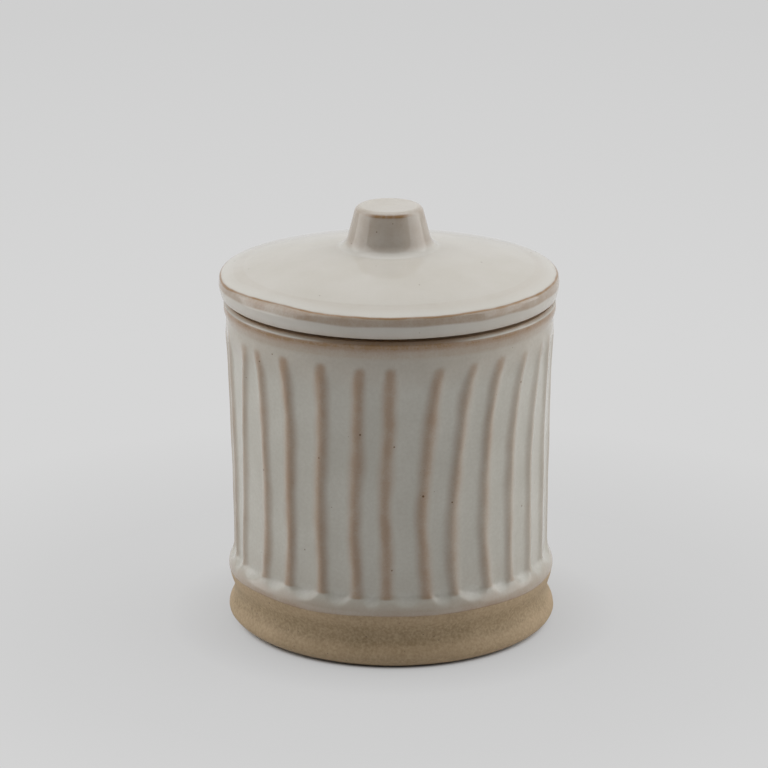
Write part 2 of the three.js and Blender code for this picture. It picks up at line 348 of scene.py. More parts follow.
rim = np.vstack([
    corner((RIM_RADIUS, BAND_TOP), BEVEL_FOOT, BEVEL_TOP, 0.9, 8),
    corner(BEVEL_FOOT, BEVEL_TOP, (SEAT_EDGE, BEVEL_TOP[1]), 0.22, 3),
    [(SEAT_EDGE + 0.1, BEVEL_TOP[1]), (SEAT_EDGE - 0.1, POT_HEIGHT)],
    straight((SEAT_EDGE - 0.1, POT_HEIGHT), LIP, 5),
    quarter(LIP, mouth, 7),
])
print(len(foot_edge) + len(side) + len(rim), "levels from the foot ring over the rim")

# %% Outline of the underside and of the space inside
floor_corner = (INNER_FOOT_RADIUS, FLOOR)
inside_corner = corner((0, FLOOR), floor_corner, mouth, FLOOR_CORNER, 14)[::-1]
inside = np.vstack([
    straight(mouth, inside_corner[0], 22)[:-1],
    inside_corner,
    straight(inside_corner[-1], (1.2, FLOOR), 12),
])
recess_edge = (RING_INNER - RECESS, RECESS)
underside = np.vstack([
    straight((1.2, RECESS), recess_edge, 12),
    quarter(recess_edge, (RING_INNER, 0.0), 7),
    straight((RING_INNER, 0.0), (FOOT_EDGE, 0.0), 5)[:-1],
])
print(len(underside), "levels underneath,", len(inside), "inside")

# %% [markdown]
# ## From outline to skin
#
# A row of points goes round the pot for every point of the outline, and quads join each
# row to the next. The wall needs 560 columns to hold its ridges, and the plain inside
# needs a quarter of that, so one helper also joins a fine row to a coarse one. That
# keeps the faces where the eye looks, which matters more than an even mesh.

# %% Helpers that build the mesh
COARSE = 4


def join_rows(low, high):
    """Faces between two rings of vertex numbers, wound so that they face outwards. One
    ring may hold a whole number of times more points than the other."""
    if len(low) == len(high):
        a, b = low, np.roll(low, -1)
        return np.column_stack([a, b, np.roll(high, -1), high]).tolist()
    swap = len(low) > len(high)
    few, many = (high, low) if swap else (low, high)
    ratio = len(many) // len(few)
    faces = []
    for i, near in enumerate(few):
        following = few[(i + 1) % len(few)]
        fan = [many[(i * ratio + k) % len(many)] for k in range(ratio + 1)]
        middle = ratio // 2
        faces += [[near, fan[k + 1], fan[k]] for k in range(middle)]
        faces.append([near, following, fan[middle]])
        faces += [[following, fan[k + 1], fan[k]] for k in range(middle, ratio)]
    return [f[::-1] for f in faces] if swap else faces


def build_skin(name, rows, tags, thin, materials):
    """Mesh object from rings of points in millimetres. tags gives the material number of
    the band above each row, and thin the glaze thinness of each point. The first and
    last rows are closed with a fan."""
    starts = np.cumsum([0] + [len(r) for r in rows])
    rings = [np.arange(starts[i], starts[i + 1]) for i in range(len(rows))]
    points = np.vstack(rows)
    faces, numbers = [], []
    for i in range(len(rings) - 1):
        made = join_rows(rings[i], rings[i + 1])
        faces += made
        numbers += [tags[i]] * len(made)
    for ring, flip, number in ((rings[0], True, tags[0]), (rings[-1], False, tags[-1])):
        centre = points[ring].mean(0)
        points = np.vstack([points, centre])
        pairs = zip(ring, np.roll(ring, -1))
        fan = [[a, b, len(points) - 1] for a, b in pairs]
        faces += [f[::-1] for f in fan] if flip else fan
        numbers += [number] * len(fan)
    values = np.concatenate([np.concatenate(thin), [thin[0].mean(), thin[-1].mean()]])
    mesh = bpy.data.meshes.new(name)
    mesh.from_pydata((points * MM).tolist(), [], faces)
    mesh.polygons.foreach_set("use_smooth", [True] * len(faces))
    mesh.polygons.foreach_set("material_index", numbers)
    mesh.attributes.new("glaze_thin_and_painted_light", "FLOAT", "POINT").data.foreach_set(
        "value", values.astype(np.float32))
    for material in materials:
        mesh.materials.append(material)
    mesh.update()
    skin = bpy.data.objects.new(name, mesh)
    scene.collection.objects.link(skin)
    return skin


def ring(radius, angle, height):
    """Points of one level, with angle 0 at the front and growing to the right."""
    return np.column_stack([
        radius * np.sin(angle), -radius * np.cos(angle), np.broadcast_to(height, angle.shape)
    ])


print("fan test", len(join_rows(np.arange(4), np.arange(4, 20))), "faces")

# %% [markdown]
# ## Shader groups
#
# Glaze and clay share some effects, so each effect is built once as a node group with
# named inputs and outputs, and every material gives it its own values. A group only
# hands out masks, values and heights. The shader itself stays in the material, where
# its plain settings can be read at a glance.

# %% A short way to add nodes
def add(tree, kind, inputs=None, **settings):
    """A node with its settings, and its sockets either set or linked."""
    node = tree.nodes.new(kind)
    for key, value in settings.items():
        setattr(node, key, value)
    for key, value in (inputs or {}).items():
        if isinstance(value, bpy.types.NodeSocket):
            tree.links.new(value, node.inputs[key])
        else:
            node.inputs[key].default_value = value
    return node


def math_node(tree, operation, *values):
    return add(tree, "ShaderNodeMath", dict(enumerate(values)), operation=operation).outputs[0]


def remap(tree, value, low, high, to_low=0.0, to_high=1.0, smooth=False):
    kind = "SMOOTHSTEP" if smooth else "LINEAR"
    node = add(tree, "ShaderNodeMapRange", {
        "Value": value, "From Min": low, "From Max": high,
        "To Min": to_low, "To Max": to_high}, interpolation_type=kind)
    return node.outputs[0]


def new_group(name, inputs, outputs):
    tree = bpy.data.node_groups.new(name, "ShaderNodeTree")
    kinds = {"vector": "NodeSocketVector", "value": "NodeSocketFloat"}
    for label, kind, default in inputs:
        socket = tree.interface.new_socket(name=label, in_out="INPUT", socket_type=kinds[kind])
        if default is not None:
            socket.default_value = default
    for label in outputs:
        tree.interface.new_socket(name=label, in_out="OUTPUT", socket_type="NodeSocketFloat")
    entry = tree.nodes.new("NodeGroupInput")
    leave = tree.nodes.new("NodeGroupOutput")
    return tree, entry.outputs, leave.inputs


def use_group(tree, group, **inputs):
    """Puts a group in a material and returns its outputs. An underscore here stands
    for a space in an input's name."""
    named = {key.replace("_", " "): value for key, value in inputs.items()}
    return add(tree, "ShaderNodeGroup", named, node_tree=group).outputs


print("node helpers ready")

# %% [markdown]
# ### Iron specks
#
# Grains of iron in the clay melt up into the glaze as small brown dots. A Voronoi
# texture gives scattered cells in space. Each cell may hold one round grain of its own
# size, and the surface cuts through it, which gives dots of mixed sizes.

# %% Group: iron specks
specks_group, enter, leave = new_group("Iron specks", [
    ("Position", "vector", None), ("Spacing", "value", 0.004),
    ("Largest", "value", 0.12), ("Share", "value", 0.4)], ["Specks"])
tree = specks_group
cells = add(tree, "ShaderNodeTexVoronoi", {
    "Vector": enter["Position"],
    "Scale": math_node(tree, "DIVIDE", 1.0, enter["Spacing"])}, voronoi_dimensions="3D")
chance = add(tree, "ShaderNodeSeparateColor", {"Color": cells.outputs["Color"]})
held = math_node(tree, "LESS_THAN", chance.outputs[0], enter["Share"])
bigger = math_node(tree, "POWER", chance.outputs[1], 2.0)
size = math_node(tree, "MULTIPLY", remap(tree, bigger, 0, 1, 0.35, 1.0), enter["Largest"])
inner = math_node(tree, "MULTIPLY", size, 0.55)
dot = add(tree, "ShaderNodeMapRange", {
    "Value": cells.outputs["Distance"], "From Min": size, "From Max": inner},
    interpolation_type="SMOOTHSTEP").outputs[0]
tree.links.new(math_node(tree, "MULTIPLY", dot, held), leave["Specks"])
print(specks_group.name, "uses", len(tree.nodes), "nodes")

# %% [markdown]
# ### Clouding
#
# No fired surface is one flat colour. Soft clouds a few millimetres wide come from the
# way the glaze was poured and melted. The same group at a smaller size gives the grain
# of bare clay.

# %% Group: clouding
clouds_group, enter, leave = new_group("Clouding", [
    ("Position", "vector", None), ("Size", "value", 0.01),
    ("Detail", "value", 3.0), ("Spread", "value", 0.2)], ["Cloud"])
tree = clouds_group
noise = add(tree, "ShaderNodeTexNoise", {
    "Vector": enter["Position"], "Detail": enter["Detail"],
    "Scale": math_node(tree, "DIVIDE", 1.0, enter["Size"])})
shade = add(tree, "ShaderNodeMapRange", {
    "Value": noise.outputs[0],
    "From Min": math_node(tree, "SUBTRACT", 0.5, enter["Spread"]),
    "From Max": math_node(tree, "ADD", 0.5, enter["Spread"])})
tree.links.new(shade.outputs[0], leave["Cloud"])
print(clouds_group.name, "uses", len(tree.nodes), "nodes")

# %% [markdown]
# ### Glaze break
#
# Where melted glaze runs off an edge it lies thin, and the brown body shows through.
# Potters say that the glaze breaks. The mesh knows where its edges are, so it carries
# the thinness of the glaze at each point, and this group makes the border uneven with
# patches and a fine grain. Where the glaze is thinnest of all it turns rusty.

# %% Group: glaze break
break_group, enter, leave = new_group("Glaze break", [
    ("Position", "vector", None), ("Thinness", "value", 0.0),
    ("Patch Size", "value", 0.005), ("Patches", "value", 0.3),
    ("Grain Size", "value", 0.0006), ("Grain", "value", 0.2)], ["Break", "Rust"])
tree = break_group
uneven = 1.0
for size, amount, detail in (("Patch Size", "Patches", 3.0), ("Grain Size", "Grain", 2.0)):
    noise = add(tree, "ShaderNodeTexNoise", {
        "Vector": enter["Position"], "Detail": detail,
        "Scale": math_node(tree, "DIVIDE", 1.0, enter[size])})
    centred = math_node(tree, "SUBTRACT", noise.outputs[0], 0.5)
    part = math_node(tree, "MULTIPLY", centred, enter[amount])
    uneven = math_node(tree, "ADD", uneven, part)
reach = math_node(tree, "MULTIPLY", enter["Thinness"], uneven)
tree.links.new(remap(tree, reach, 0.06, 0.92), leave["Break"])
tree.links.new(remap(tree, reach, 0.94, 1.28, smooth=True), leave["Rust"])
print(break_group.name, "uses", len(tree.nodes), "nodes")

# %% [markdown]
# ### Ripple and peel
#
# Fired glaze is smooth but not flat: it has slow ripples, and on them the faint orange
# peel of a melt that set while it moved. Heights are given in metres, so the bump is as
# deep as on the real jar. Clay uses the same group with a finer and rougher grain.

# %% Group: ripple and peel
relief_group, enter, leave = new_group("Ripple and peel", [
    ("Position", "vector", None), ("Ripple Size", "value", 0.008),
    ("Ripple Depth", "value", 0.00004), ("Peel Size", "value", 0.0009),
    ("Peel Depth", "value", 0.000005)], ["Height"])
tree = relief_group
heights = []
for part in ("Ripple", "Peel"):
    noise = add(tree, "ShaderNodeTexNoise", {
        "Vector": enter["Position"], "Detail": 2.0,
        "Scale": math_node(tree, "DIVIDE", 1.0, enter[part + " Size"])})
    heights.append(math_node(tree, "MULTIPLY", noise.outputs[0], enter[part + " Depth"]))
tree.links.new(math_node(tree, "ADD", *heights), leave["Height"])
print(relief_group.name, "uses", len(tree.nodes), "nodes")

# %% [markdown]
# ## The glaze
#
# The glaze is a warm oatmeal white, glossy, with a taupe break. Pot and lid were dipped
# in the same bucket, so one function mixes both, and only the values differ: the lid
# lay flat in the kiln, where its glaze pooled smoother. The pot's colours are painted a
# little darker than the lid's: painted shade.

# %% Colours, as light that the surface gives back
# The pot's colours are darker than the lid's: painted shade.
POT_PALE_SHADED, POT_DEEP_SHADED = (0.585, 0.566, 0.504, 1), (0.540, 0.520, 0.457, 1)
LID_PALE, LID_DEEP = (0.620, 0.592, 0.540, 1), (0.585, 0.555, 0.496, 1)
GLAZE_POOL = (0.690, 0.680, 0.640, 1)
GLAZE_GRAIN = (0.430, 0.395, 0.335, 1)
BREAK_TAUPE = (0.374, 0.272, 0.192, 1)
BREAK_RUST = (0.316, 0.196, 0.098, 1)
SPECK_BROWN = (0.085, 0.050, 0.028, 1)
IRON_SPECK = (0.130, 0.062, 0.020, 1)


def blend_colour(tree, factor, first, second):
    node = add(tree, "ShaderNodeMix", {"Factor": factor}, data_type="RGBA")
    colours = [s for s in node.inputs if s.type == "RGBA"]
    for socket, value in zip(colours, (first, second)):
        if isinstance(value, bpy.types.NodeSocket):
            tree.links.new(value, socket)
        else:
            socket.default_value = value
    return next(s for s in node.outputs if s.type == "RGBA")


def new_material(name):
    material = bpy.data.materials.new(name)
    material.use_nodes = True
    tree = material.node_tree
    shader = next(n for n in tree.nodes if n.type == "BSDF_PRINCIPLED")
    position = add(tree, "ShaderNodeTexCoord").outputs["Object"]
    return material, tree, shader, position


print("glaze colours mixed")

# %% The glaze material
def mix_glaze(name, pale, deep, patches, grain, roughness, ripple_depth, peel_depth):
    """A glaze whose colour is laid up in layers: clouds and pools, fine grain, break,
    rust, dust and specks. patches and grain are how uneven the break and the body are."""
    material, tree, shader, position = new_material(name)
    thin = add(tree, "ShaderNodeAttribute", attribute_name="glaze_thin_and_painted_light").outputs["Fac"]
    cloud = use_group(tree, clouds_group, Position=position, Size=0.016, Spread=0.16)["Cloud"]
    breaks = use_group(tree, break_group, Position=position, Thinness=thin,
                       Patches=patches, Grain=0.38)
    specks = use_group(tree, specks_group, Position=position, Spacing=0.0042,
                       Largest=0.11, Share=0.42)["Specks"]
    dust = use_group(tree, specks_group, Position=position, Spacing=0.0011,
                     Largest=0.16, Share=0.30)["Specks"]
    pooled = remap(tree, thin, -1, 0, 0.8, 0)
    melt = blend_colour(tree, pooled, blend_colour(tree, cloud, pale, deep), GLAZE_POOL)
    fine = use_group(tree, clouds_group, Position=position, Size=0.0009, Spread=0.22)["Cloud"]
    body = blend_colour(tree, math_node(tree, "MULTIPLY", fine, grain), melt, GLAZE_GRAIN)
    broken = blend_colour(tree, breaks["Break"], body, BREAK_TAUPE)
    rusty = blend_colour(tree, breaks["Rust"], broken, BREAK_RUST)
    dusty_share = math_node(tree, "MULTIPLY", dust, remap(
        tree, breaks["Break"], 0.15, 0.9, 0.04, 0.40))
    dusty = blend_colour(tree, dusty_share, rusty, SPECK_BROWN)
    speck_depth = math_node(tree, "MULTIPLY", specks, remap(
        tree, breaks["Break"], 0.1, 0.6, 0.50, 0.95))
    colour = blend_colour(tree, speck_depth, dusty, IRON_SPECK)
    height = use_group(tree, relief_group, Position=position, Ripple_Depth=ripple_depth,
                       Peel_Depth=peel_depth)["Height"]
    bump = add(tree, "ShaderNodeBump", {"Height": height, "Distance": 1.0, "Strength": 1.0})
    gloss = math_node(tree, "ADD", remap(tree, cloud, 0, 1, roughness, roughness * 1.45),
                      math_node(tree, "MULTIPLY", breaks["Break"], 0.05))
    tree.links.new(colour, shader.inputs["Base Color"])
    tree.links.new(gloss, shader.inputs["Roughness"])
    tree.links.new(bump.outputs[0], shader.inputs["Normal"])
    shader.inputs["IOR"].default_value = 1.5
    return material


pot_glaze = mix_glaze("oatmeal glaze with painted light on the pot", POT_PALE_SHADED, POT_DEEP_SHADED, patches=0.6,
                      grain=0.30, roughness=0.11, ripple_depth=4e-5, peel_depth=5e-6)
lid_glaze = mix_glaze("oatmeal glaze with painted highlights on the lid", LID_PALE, LID_DEEP, patches=1.1,
                      grain=0.06, roughness=0.03, ripple_depth=2.5e-5, peel_depth=1e-6)
print(pot_glaze.name, "and", lid_glaze.name, "mixed")

# %% [markdown]
# ## Bare clay
#
# The foot, the rim's top and the lid's seat and flange were wiped clean before firing,
# or they would have stuck. What's left is toasted sandy stoneware: matt, grainy, with darker
# flecks. Two sizes of clouding make the sand. The turning tool left fine level lines,
# so another noise is squeezed flat in height. The cove is drawn darker.

# %% The clay material
CLAY_SAND = (0.408, 0.290, 0.168, 1)
CLAY_TOAST = (0.282, 0.198, 0.100, 1)
CLAY_PALE = (0.545, 0.420, 0.270, 1)
COVE_FROM, COVE_TO = (0.0070, 0.0086), (0.0148, 0.0130)
LINE_SQUEEZE = (40, 40, 900)

clay, tree, shader, position = new_material("bare turned stoneware")
toast = use_group(tree, clouds_group, Position=position, Size=0.011, Spread=0.2)["Cloud"]
sand = use_group(tree, clouds_group, Position=position, Size=0.0008, Spread=0.18,
                 Detail=3.0)["Cloud"]
flecks = use_group(tree, specks_group, Position=position, Spacing=0.0032, Largest=0.12,
                   Share=0.28)["Specks"]
grit = use_group(tree, specks_group, Position=position, Spacing=0.0014, Largest=0.26,
                 Share=0.30)["Specks"]
squeeze = add(tree, "ShaderNodeVectorMath", {0: position, 1: LINE_SQUEEZE},
              operation="MULTIPLY").outputs[0]
lines = add(tree, "ShaderNodeTexNoise", {
    "Vector": squeeze, "Scale": 1.0, "Detail": 1.0}).outputs[0]
height = add(tree, "ShaderNodeSeparateXYZ", {0: position}).outputs["Z"]
uneven = math_node(tree, "MULTIPLY_ADD", toast, 0.0012, height)
# The cove, from about 7 to 15 mm up, is drawn darker.
in_cove = math_node(tree, "MULTIPLY", remap(tree, uneven, *COVE_FROM, smooth=True),
                    remap(tree, uneven, *COVE_TO, smooth=True))
toasted = math_node(tree, "MULTIPLY_ADD", toast, 0.45,
                    math_node(tree, "MULTIPLY", in_cove, 0.55))
base = blend_colour(tree, toasted, CLAY_SAND, CLAY_TOAST)
sandy = blend_colour(tree, math_node(tree, "MULTIPLY", sand, 0.62), base, CLAY_PALE)
gritty = blend_colour(tree, math_node(tree, "MULTIPLY", grit, 0.50), sandy, SPECK_BROWN)
flecked = blend_colour(tree, math_node(tree, "MULTIPLY", flecks, 0.75), gritty, SPECK_BROWN)
grain_height = use_group(
    tree, relief_group, Position=position, Ripple_Size=0.0011, Ripple_Depth=3.0e-5,
    Peel_Size=0.0004, Peel_Depth=1.6e-5)["Height"]
line_height = math_node(tree, "MULTIPLY", lines, 5.0e-5)
bump = add(tree, "ShaderNodeBump", {
    "Height": math_node(tree, "ADD", grain_height, line_height),
    "Distance": 1.0, "Strength": 1.0})
tree.links.new(flecked, shader.inputs["Base Color"])
tree.links.new(remap(tree, sand, 0, 1, 0.58, 0.75), shader.inputs["Roughness"])
tree.links.new(bump.outputs[0], shader.inputs["Normal"])
shader.inputs["Specular IOR Level"].default_value = 0.5
print(clay.name, "mixed")

# %% [markdown]
# ## The pot
#
# The skin runs in one piece from under the foot, up the outside, over the rim and down
# to the floor inside. Glaze has a thickness: where it stops above the foot it ends in a
# small rounded step, so the bare clay is drawn a sixth of a millimetre further in. The
# line wanders, because the pot was dipped by hand.

# %% How thin the glaze lies apart from the ridges
RIM_HEIGHTS = [81.0, 87.5, 93.4, 94.3, 95.2, 96.0, 96.6, 97.1, 98.1, 98.6, 99.6]
RIM_THINNESS = [0, 0.20, 0.30, 0.54, 0.60, 0.68, 0.92, 1.16, 1.14, 0.92, 0.92]
BULGE_HEIGHTS = [16.6, 16.9, 17.8, 19.6, 21.0, 26.0, 36.0]
BULGE_THINNESS = [0.90, 0.64, 0.51, 0.33, 0.13, 0.10, 0]
MIDDLE_HEIGHT = 80
# A pale line along the rim's edge at the sides: a painted highlight.
RIM_HIGHLIGHT, RIM_HIGHLIGHT_HEIGHT, RIM_HIGHLIGHT_WIDTH = 0.95, 98.2, 0.26

column_angle = fluting(RIM_RADIUS, 98.0)[0]
sideways = np.abs(np.sin(column_angle))
bulge_sides = smoothstep(0.42, 0.62, sideways) - smoothstep(0.80, 0.95, sideways)
rim_highlight_sides = smoothstep(0.28, 0.55, sideways)


def even_thinness(height):
    """Thinness in each column, higher on the bulge half-way to the sides. Along the edge
    of the rim, except at the front and the back, a pale line is painted: a painted highlight."""
    if height < MIDDLE_HEIGHT:
        return np.interp(height, BULGE_HEIGHTS, BULGE_THINNESS) * (1 + 0.28 * bulge_sides)
    # bead: the pale line along the rim's edge, a painted highlight.
    bead = RIM_HIGHLIGHT * math.exp(-((height - RIM_HIGHLIGHT_HEIGHT) / RIM_HIGHLIGHT_WIDTH) ** 2)
    return np.interp(height, RIM_HEIGHTS, RIM_THINNESS) * (1 - bead * rim_highlight_sides)


print("thinness on the rim's edge", even_thinness(97.1).max().round(2))

# %% How one level of the pot departs from a true circle
POT_SHIFT, POT_LEAN = 0.22, 0.5
FOOT_TURNED = 1.7
LINE_WANDER, LINE_REACH = 0.28, 1.6
WALL_UNEVEN = 0.07
STEP_HALF = 0.13
BEVEL_SINK, BEVEL_TILT = 0.04, 0.05
wall_wobble = waves(31, 7, 2.5)
line_wobble = waves(32, 9, 0.0)


def foot_wear(angle, radius, height):
    """The foot's lower edge was turned away more on the left than on the right."""
    if height > BEAD[1] or radius < RING_INNER:
        return 0
    share = (radius - RING_INNER) / (FOOT_EDGE - RING_INNER) if height == 0 else 1
    return FOOT_TURNED * np.clip(-np.sin(angle), 0, 1) * min(share, 1) * (1 - height / BEAD[1])


def pot_ring(radius, height, on_side):
    """Points and glaze thinness of one level. on_side says that it's on the wall, where
    the flutes, the glaze's step and the unevenness of the hand are. The pot stands a
    little to the right of its axis, and most so at the foot."""
    angle, depth, thin = fluting(max(radius, 1), height)
    lift = line_wobble(angle, 0) * LINE_WANDER * math.exp(
        -((height - GLAZE_LINE) / LINE_REACH) ** 2)
    if SEAT_EDGE < radius and height > 98.6:
        sink = BEVEL_SINK + BEVEL_TILT * np.sin(angle)
        lift = lift - sink * smoothstep(98.3, 98.9, height)
    if on_side:
        clay_share = 1 - smoothstep(GLAZE_LINE - STEP_HALF, GLAZE_LINE + STEP_HALF, height)
        fade = smoothstep(3, 8, height) * (1 - smoothstep(93, 99, height) * 0.7)
        inward = depth + GLAZE_STEP * clay_share
        inward = inward + WALL_UNEVEN * (1 - wall_wobble(angle, height)) * fade
    else:
        inward = foot_wear(angle, radius, height)
    points = ring(radius - inward, angle, height + lift)
    points[:, 0] += POT_SHIFT + POT_LEAN * (1 - height / POT_HEIGHT) ** 2
    return points, thin


print("the foot stands", round(POT_SHIFT + POT_LEAN, 2), "mm right of the axis")

# %% Rings of the pot
GLAZE, CLAY = 0, 1
pot_rows, pot_thin, pot_tags = [], [], []


def plain_level(radius, height, thinness, tag):
    points = pot_ring(radius, height, False)[0][::COARSE]
    pot_rows.append(points)
    pot_thin.append(np.full(len(points), thinness))
    pot_tags.append(tag)


for radius, height in underside:
    plain_level(radius, height, 0.0, CLAY)
for index, (radius, height) in enumerate(np.vstack([foot_edge, side, rim])):
    on_side = len(foot_edge) <= index < len(foot_edge) + len(side)
    points, thin = pot_ring(radius, height, on_side)
    even = even_thinness(height)
    pot_rows.append(points)
    pot_thin.append(np.where(even > 0, np.maximum(thin, even + np.minimum(thin, 0)), thin))
    on_seat = height > POT_HEIGHT - 0.25 and radius < SEAT_EDGE
    pot_tags.append(CLAY if height < GLAZE_LINE or on_seat else GLAZE)
for radius, height in inside:
    plain_level(radius, height, float(np.interp(height, [92, mouth[1]], [0, 0.8])), GLAZE)
print(len(pot_rows), "rings,", sum(len(r) for r in pot_rows), "points")

# %% Build the pot and fit it to the frame
pot = build_skin("jar_fluted_pot", pot_rows, pot_tags, pot_thin, [pot_glaze, clay])
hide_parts("jar")
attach(pot, "jar")
print(pot.name, "has", len(pot.data.polygons), "faces")

# %% [markdown]
# ## The lid
#
# The lid is one outline turned about the axis. Its side swells out from the seat and
# bends back to a worn edge, the arris, where the crown starts. The crown is a very low
# dome that runs into the knob through a soft fillet. Underneath, a flange keeps the lid
# central and a hollow saves weight.

# %% Outline of the lid
slope = (KNOB_FOOT[1] - ARRIS[1]) / (ARRIS[0] - KNOB_FOOT[0])
hollow_top = ARRIS[1] + slope * (ARRIS[0] - HOLLOW_RADIUS) - LID_THICKNESS
ceiling = KNOB_FOOT[1] - LID_THICKNESS
hollow_corner = (HOLLOW_RADIUS, hollow_top)
flange_inner, flange_outer = (HOLLOW_RADIUS, FLANGE_FOOT), (FLANGE_RADIUS, FLANGE_FOOT)
seat_inner = (FLANGE_RADIUS, LID_SEAT)
side_foot = (LID_RADIUS - SIDE_UNDERCUT, LID_SEAT + SIDE_RISE)
seat_outer = (side_foot[0] - SEAT_TURN, LID_SEAT)


def lid_side(height):
    """Radius of the lid's side: widest part way up, drawn in above and below it."""
    up = (height - LID_WIDEST) / (ARRIS[1] - LID_WIDEST)
    down = (LID_WIDEST - height) / (LID_WIDEST - side_foot[1])
    bevel = (LID_RADIUS - ARRIS[0]) * np.clip(up, 0, None) ** 1.15
    return LID_RADIUS - bevel - SIDE_UNDERCUT * np.clip(down, 0, None) ** 2


hollow = np.vstack([
    straight((1.0, ceiling), (KNOB_FOOT[0], ceiling), 5),
    corner((KNOB_FOOT[0], ceiling), hollow_corner, flange_inner, CEILING_ROUNDING, 8),
])
flange = np.vstack([
    corner(hollow_corner, flange_inner, flange_outer, FLANGE_ROUNDING, 6),
    corner(flange_inner, flange_outer, seat_inner, FLANGE_ROUNDING, 6),
    straight((FLANGE_RADIUS, FLANGE_FOOT + 2.0), seat_inner, 4),
    straight(seat_inner, seat_outer, 8),
])
before_arris = (float(lid_side(ARRIS[1] - 1.0)), ARRIS[1] - 1.0)
side_heights = np.linspace(side_foot[1], before_arris[1], 30)
lid_edge = np.vstack([
    quarter(seat_outer, side_foot, 7)[:-1],
    np.column_stack([lid_side(side_heights), side_heights]),
])
arris = corner(before_arris, ARRIS, KNOB_FOOT, ARRIS_ROUNDING, 12)
print("crown rises", round(slope * 100, 1), "mm in 100")

# %% Outline of the crown and the knob: rings lie closest where the glaze changes fastest
CLOSE_RINGS, RING_THINNING = 24, 4
crown_foot = tuple(arris[-1])
knob_centre = (0, KNOB_TOP[1] - KNOB_DISH)
knob_base = corner(crown_foot, KNOB_FOOT, KNOB_TOP, KNOB_FILLET, 18)
knob_edge = corner(KNOB_FOOT, KNOB_TOP, knob_centre, KNOB_ROUNDING, 14)
crown = straight(crown_foot, knob_base[0], 165)[:-1]
crown = np.vstack([crown[:CLOSE_RINGS], crown[CLOSE_RINGS::RING_THINNING]])
along = (crown_foot[0] - crown[:, 0]) / (crown_foot[0] - knob_base[0][0])
crown[:, 1] += CROWN_RISE * 4 * along * (1 - along)
top = np.vstack([
    crown,
    knob_base,
    straight(knob_base[-1], knob_edge[0], 12)[1:-1],
    knob_edge,
    straight(knob_edge[-1], (0.6, knob_centre[1]), 10)[1:],
])
print(len(top), "levels from the arris to the middle of the knob")

# %% [markdown]
# ### Where the glaze is thin on the lid
#
# The lid's edge shows three zones. Low on the side the glaze is thick and pale. Above an
# uneven border it's a brown haze, and on the arris a rusty line runs round. No edge made
# by hand is even, so the line's place, width and strength change round the lid. At the
# front left the haze and the line are painted fainter: a painted highlight. Angles
# run from the front to the right, which puts 270 degrees at the left.

# %% How the lid's edge changes round it
LID_COLUMNS = 360
lid_angle = np.arange(LID_COLUMNS) / LID_COLUMNS * 2 * np.pi
lid_wobble = waves(41, 6, 2.0)
band_edge = waves(42, 22, 0.0)
arris_edge = waves(43, 60, 0.0, 16)
ragged = arris_edge(lid_angle + 2, 0)


def patch_at(degrees, spread):
    return np.exp(-((np.degrees(lid_angle) - degrees) / spread) ** 2)


left_rub_and_highlight = patch_at(318, 16)
far_left = patch_at(283, 11)
left_side = np.clip(-np.sin(lid_angle), 0, 1)
# At the front left the haze's border is lifted and the rusty line weakened: a painted
# highlight.
band_border = 103.82 + 0.25 * band_edge(lid_angle, 0) + 0.6 * left_rub_and_highlight
arris_wear = 1.28 + 0.18 * arris_edge(lid_angle, 0)
line_strength = arris_wear - 0.30 * left_rub_and_highlight + 0.12 * ragged
line_width = 0.59 + 0.1 * far_left
line_place = 1.7 * left_rub_and_highlight - 0.7 * far_left + 0.15 + 0.20 * band_edge(lid_angle + 1, 0)
line_place = line_place + 0.10 * ragged
front_wear = 0.26 * np.clip(np.cos(lid_angle), 0, 1) ** 2
print("the band's border wanders by", round(float(np.ptp(band_border)), 2), "mm")

# %% How thin the glaze lies on the lid
HAZE_HEIGHTS, HAZE = [103.6, 104.4, 105.2, 106.2], [0.70, 0.68, 0.63, 0.64]
LOW_HEIGHTS, LOW_THINNESS = [100.6, 101.3, 102.2], [0.34, 0.20, 0.12]
# The first value paints a paler ring inside the arris line: a painted highlight.
ARRIS_HIGHLIGHT, FILLET_POOL = 0.45, 0.4


def edge_thinness(radius, height):
    """Thinness on the side and round the arris. past is how far a point lies from the
    middle of the rusty line, towards the crown. Just inside the line a paler ring is
    painted: a painted highlight."""
    past = (ARRIS[0] - radius) - (ARRIS[1] - height) - line_place
    line = line_strength * np.exp(-np.abs(past / line_width) ** 2.5)
    low = np.interp(height, LOW_HEIGHTS, LOW_THINNESS)
    haze = np.interp(height, HAZE_HEIGHTS, HAZE)
    haze = haze * smoothstep(band_border - 0.48, band_border + 0.38, height)
    haze = haze * (1 - smoothstep(-0.1, 0.6, past))
    # pool: a paler ring just inside the rusty line, a painted highlight.
    pool = ARRIS_HIGHLIGHT * smoothstep(0.6, 1.6, past) * (1 - smoothstep(2.0, 6.0, past))
    return np.maximum(low, np.maximum(line, haze)) - pool


def knob_thinness(radius, height):
    """Thinness on the knob: a light break all over its side, a rusty one on its upper
    edge, and a pool in the fillet at its foot. At the left and right the rusty line is
    painted fainter: a painted highlight."""
    edge = math.hypot(radius - KNOB_TOP[0] - 0.25, height - KNOB_TOP[1] + 1.1)
    worn = float(np.interp(edge, [0.2, 0.45, 0.9], [1.22, 0.92, 0.0]))
    # fade: the rusty line painted fainter at the left and right, a painted highlight.
    fade = 1 - 0.62 * smoothstep(0.35, 0.8, np.abs(np.sin(lid_angle)))
    face = 0.42 * float(smoothstep(KNOB_FOOT[1] - 0.5, KNOB_FOOT[1] + 2.5, height))
    face = face * float(np.interp(radius, [KNOB_TOP[0] - 1.6, KNOB_TOP[0] - 0.1], [0.3, 1]))
    pool = FILLET_POOL * math.exp(-((radius - KNOB_FOOT[0] - 1.8) / 1.1) ** 2)
    return np.maximum(face, worn * fade * (0.42 + arris_wear / 2.2)) - pool


